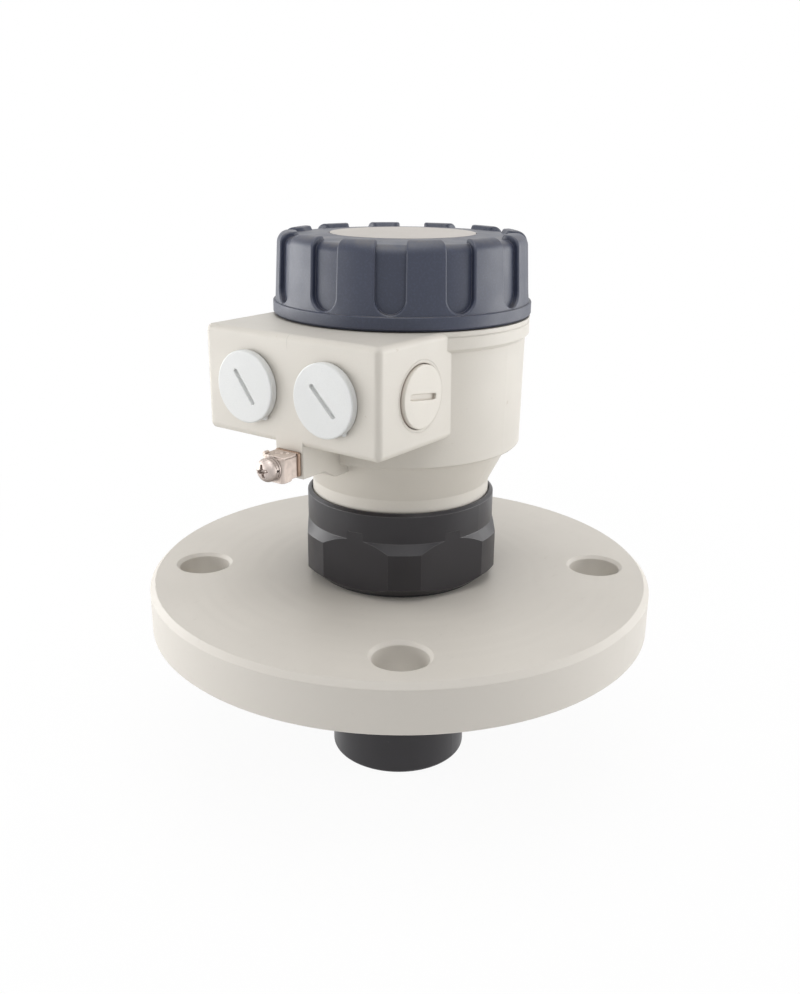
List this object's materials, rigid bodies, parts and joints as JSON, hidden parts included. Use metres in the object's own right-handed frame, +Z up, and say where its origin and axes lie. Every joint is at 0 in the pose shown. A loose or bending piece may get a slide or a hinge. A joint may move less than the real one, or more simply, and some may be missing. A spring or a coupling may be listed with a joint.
{
  "type": "ultrasonic level sensor",
  "caption": "Ultrasonic level sensor: round plastic flange, black hex sensor head with a nose below it, beige housing with a cable box, ribbed screw lid, blank plugs and an earth terminal.",
  "frame": {"origin": "centre of the flange's lower face, where the axis of the flange's bolt circle meets it", "axes": "+Z up along the axis from the flange to the lid, -Y out of the front of the cable box"},
  "size_m": [0.1906, 0.1906, 0.2043],
  "materials": {
    "flange_beige": "machined, fine turning marks",
    "housing_beige": "moulded, satin",
    "lid_slate": "moulded, fine grain",
    "head_black": "moulded and turned, satin",
    "plug_white": "moulded, smooth",
    "disc_pale": "smooth film",
    "seal_rubber": "matte",
    "nickel": "nickel plated",
    "spring_steel": "blackened",
    "brass": "machined",
    "layer_grey": "syntactic foam resin",
    "ceramic": "silvered ceramic",
    "potting": "cast resin",
    "lead_red": "insulated wire",
    "tray_grey": "moulded",
    "board_green": "lacquered laminate",
    "component_black": "moulded",
    "terminal_green": "moulded"
  },
  "bodies": {
    "base": {"flange": "flange_beige", "process_gasket": "seal_rubber", "sensor_body": "head_black", "matching_layer": "layer_grey", "piezo_disc": "ceramic", "backing": "potting", "sensor_leads": "lead_red", "retaining_ring": "spring_steel"},
    "head": {"housing": "housing_beige", "neck_oring": "seal_rubber", "conduit_plug_left": "housing_beige", "conduit_plug_right": "housing_beige", "earth_insert": "brass", "carrier": "tray_grey", "carrier_screws": "nickel", "circuit_board": "board_green", "components": "component_black", "terminal_block": "terminal_green", "terminal_screws": "nickel"},
    "lid_ring": {"lid_oring": "seal_rubber"},
    "lid_cap": {"lid": "lid_slate", "lid_disc": "disc_pale"},
    "left_ring": {"seal_left": "seal_rubber"},
    "left_plug": {"plug_left": "plug_white"},
    "right_ring": {"seal_right": "seal_rubber"},
    "right_plug": {"plug_right": "plug_white"},
    "clamp": {"earth_saddle": "nickel", "earth_washer": "nickel", "earth_spring_washer": "nickel"},
    "clamp_screw": {"earth_screw": "nickel"}
  },
  "joints": [
    {"name": "head_swivel", "type": "hinge", "parent": "base", "child": "head", "pos_m": [0, 0, 0.05], "axis": [0, 0, 1], "range_deg": [-170, 170]},
    {"name": "lid_lift", "type": "slide", "parent": "head", "child": "lid_ring", "axis": [0, 0, 1], "range_m": [0, 0.009]},
    {"name": "lid_turn", "type": "hinge", "parent": "lid_ring", "child": "lid_cap", "pos_m": [0, 0, 0.12], "axis": [0, 0, 1], "range_deg": [0, 1080]},
    {"name": "left_plug_travel", "type": "slide", "parent": "head", "child": "left_ring", "axis": [0, -1, 0], "range_m": [0, 0.0075]},
    {"name": "left_plug_turn", "type": "hinge", "parent": "left_ring", "child": "left_plug", "pos_m": [-0.01656, -0.062, 0.0978], "axis": [0, -1, 0], "range_deg": [0, 1800]},
    {"name": "right_plug_travel", "type": "slide", "parent": "head", "child": "right_ring", "axis": [0, -1, 0], "range_m": [0, 0.0075]},
    {"name": "right_plug_turn", "type": "hinge", "parent": "right_ring", "child": "right_plug", "pos_m": [0.01656, -0.062, 0.0978], "axis": [0, -1, 0], "range_deg": [0, 1800]},
    {"name": "clamp_travel", "type": "slide", "parent": "head", "child": "clamp", "axis": [0, -1, 0], "range_m": [0, 0.0028]},
    {"name": "clamp_screw_turn", "type": "hinge", "parent": "clamp", "child": "clamp_screw", "pos_m": [0, -0.062, 0.0745], "axis": [0, -1, 0], "range_deg": [0, 1440]}
  ],
  "couplings": [
    {"joint": "lid_lift", "follows": "lid_turn", "m_per_rad": 0.00047746},
    {"joint": "left_plug_travel", "follows": "left_plug_turn", "m_per_rad": 0.00023873},
    {"joint": "right_plug_travel", "follows": "right_plug_turn", "m_per_rad": 0.00023873},
    {"joint": "clamp_screw_turn", "follows": "clamp_travel", "rad_per_m": 8975.9}
  ]
}
